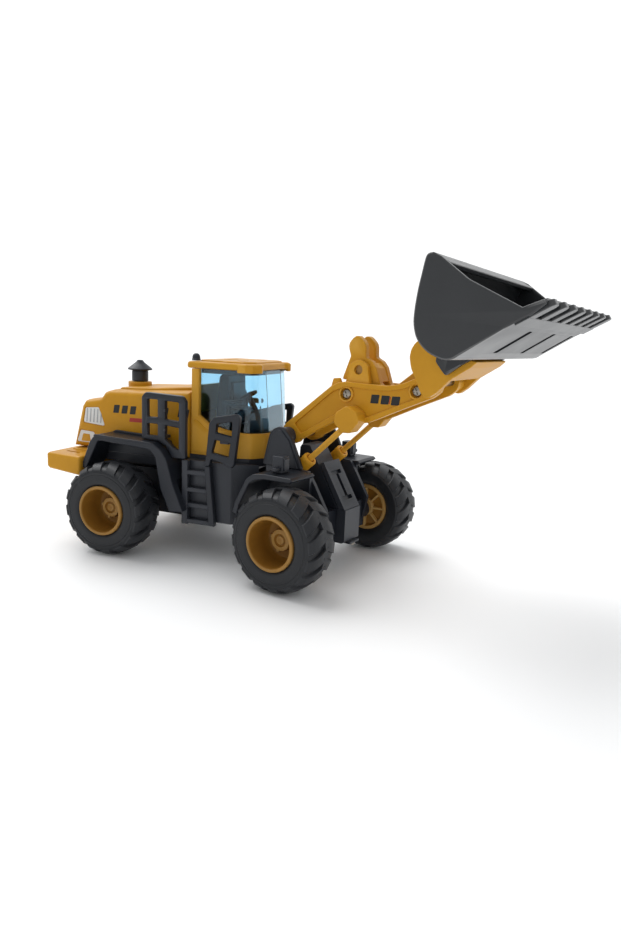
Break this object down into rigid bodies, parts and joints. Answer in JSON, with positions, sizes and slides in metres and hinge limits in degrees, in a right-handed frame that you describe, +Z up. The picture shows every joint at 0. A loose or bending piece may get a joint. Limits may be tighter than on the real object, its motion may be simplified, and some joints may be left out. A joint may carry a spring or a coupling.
{
  "type": "toy wheel loader",
  "caption": "Toy articulated wheel loader with a lift boom on cylinders, a rocker-linked tilting bucket, a tinted cab with ladders and rails, and rolling lugged tyres.",
  "frame": {"origin": "centre of the bounding box on the floor", "axes": "+X forward to the bucket along the rear frame, +Y to the loader's left, +Z up"},
  "size_m": [0.1628, 0.0873, 0.0869],
  "materials": {
    "orange_plastic": "satin moulded",
    "rim_plastic": "satin moulded",
    "black_plastic": "satin moulded",
    "bucket_plastic": "satin moulded",
    "tyre_rubber": "matt",
    "clear_window": "clear tinted",
    "steel": "plain"
  },
  "bodies": {
    "rear_frame": {"rear_chassis": "black_plastic", "rear_belly_plate": "black_plastic", "counterweight": "orange_plastic", "engine_hood": "orange_plastic", "exhaust_stack": "black_plastic", "rear_fender_right": "black_plastic", "rear_fender_left": "black_plastic", "side_rail_right": "black_plastic", "side_rail_left": "black_plastic", "ladder_right": "black_plastic", "ladder_left": "black_plastic", "hand_rail_right": "black_plastic", "hand_rail_left": "black_plastic", "side_tank_right": "black_plastic", "side_tank_left": "black_plastic", "cab_body": "orange_plastic", "cab_roof": "orange_plastic", "cab_windows": "clear_window", "driver_seat": "black_plastic", "dash_console": "black_plastic", "steering_wheel": "black_plastic", "roof_beacon": "black_plastic", "hinge_pin": "steel", "rear_screws": "steel"},
    "rear_wheels": {"rear_axle": "steel", "rear_rim_right": "rim_plastic", "rear_rim_left": "rim_plastic", "rear_tyre_right": "tyre_rubber", "rear_tyre_left": "tyre_rubber"},
    "front_frame": {"front_chassis": "black_plastic", "front_belly_plate": "black_plastic", "tower_shield": "black_plastic", "tower_cowl_right": "black_plastic", "tower_cowl_left": "black_plastic", "front_fender_right": "black_plastic", "front_fender_left": "black_plastic", "headlamp_right": "black_plastic", "headlamp_left": "black_plastic", "boom_pin": "steel", "front_screws": "steel"},
    "front_wheels": {"front_axle": "steel", "front_rim_right": "rim_plastic", "front_rim_left": "rim_plastic", "front_tyre_right": "tyre_rubber", "front_tyre_left": "tyre_rubber"},
    "boom": {"boom_right": "orange_plastic", "boom_left": "orange_plastic", "boom_screws": "steel", "rocker_pin": "steel"},
    "rocker": {"rocker": "orange_plastic"},
    "tilt_link": {"tilt_link": "orange_plastic"},
    "bucket": {"bucket": "bucket_plastic", "coupler": "orange_plastic", "coupler_pin": "steel"},
    "lift_barrel_right": {"lift_barrel_right": "orange_plastic"},
    "lift_rod_right": {"lift_rod_right": "orange_plastic"},
    "lift_barrel_left": {"lift_barrel_left": "orange_plastic"},
    "lift_rod_left": {"lift_rod_left": "orange_plastic"}
  },
  "joints": [
    {"name": "centre_steer", "type": "hinge", "parent": "rear_frame", "child": "front_frame", "pos_m": [-0.0232, 0.0109, 0.017], "axis": [0, 0, 1], "range_deg": [-7.5, 32.4]},
    {"name": "rear_wheels_roll", "type": "hinge", "parent": "rear_frame", "child": "rear_wheels", "pos_m": [-0.0562, 0.0109, 0.0142], "axis": [0, 1, 0], "continuous": true},
    {"name": "front_wheels_roll", "type": "hinge", "parent": "front_frame", "child": "front_wheels", "pos_m": [0.00902, 0.00379, 0.0142], "axis": [0.2156, 0.9765, 0], "continuous": true},
    {"name": "boom_lift", "type": "hinge", "parent": "front_frame", "child": "boom", "pos_m": [-0.0025, 0.00633, 0.0395], "axis": [-0.2156, -0.9765, 0], "range_deg": [-45, 10]},
    {"name": "bucket_tilt", "type": "hinge", "parent": "boom", "child": "bucket", "pos_m": [0.04027, -0.00311, 0.058], "axis": [0.2156, 0.9765, 0], "range_deg": [-5, 57]},
    {"name": "rocker_turn", "type": "hinge", "parent": "boom", "child": "rocker", "pos_m": [0.0182, 0.00176, 0.06], "axis": [0.2156, 0.9765, 0], "range_deg": [-25, 3]},
    {"name": "link_turn", "type": "hinge", "parent": "rocker", "child": "tilt_link", "pos_m": [0.02562, 0.00012, 0.0524], "axis": [0.2156, 0.9765, 0], "range_deg": [-5, 46]},
    {"name": "right_ram_pivot", "type": "hinge", "parent": "front_frame", "child": "lift_barrel_right", "pos_m": [-0.00107, -0.00351, 0.02877], "axis": [-0.2156, -0.9765, 0], "range_deg": [-42, 10]},
    {"name": "right_ram_slide", "type": "slide", "parent": "lift_barrel_right", "child": "lift_rod_right", "axis": [0.7083, -0.1564, 0.6884], "range_m": [-0.009, 0.0022]},
    {"name": "left_ram_pivot", "type": "hinge", "parent": "front_frame", "child": "lift_barrel_left", "pos_m": [0.00294, 0.01465, 0.02877], "axis": [-0.2156, -0.9765, 0], "range_deg": [-42, 10]},
    {"name": "left_ram_slide", "type": "slide", "parent": "lift_barrel_left", "child": "lift_rod_left", "axis": [0.7083, -0.1564, 0.6884], "range_m": [-0.009, 0.0022]}
  ],
  "couplings": [
    {"joint": "rocker_turn", "follows": "bucket_tilt", "ratio": -0.398},
    {"joint": "link_turn", "follows": "bucket_tilt", "ratio": 0.736},
    {"joint": "right_ram_pivot", "follows": "boom_lift", "ratio": 0.907},
    {"joint": "right_ram_slide", "follows": "boom_lift", "m_per_rad": 0.01086},
    {"joint": "left_ram_pivot", "follows": "boom_lift", "ratio": 0.907},
    {"joint": "left_ram_slide", "follows": "boom_lift", "m_per_rad": 0.01086}
  ]
}
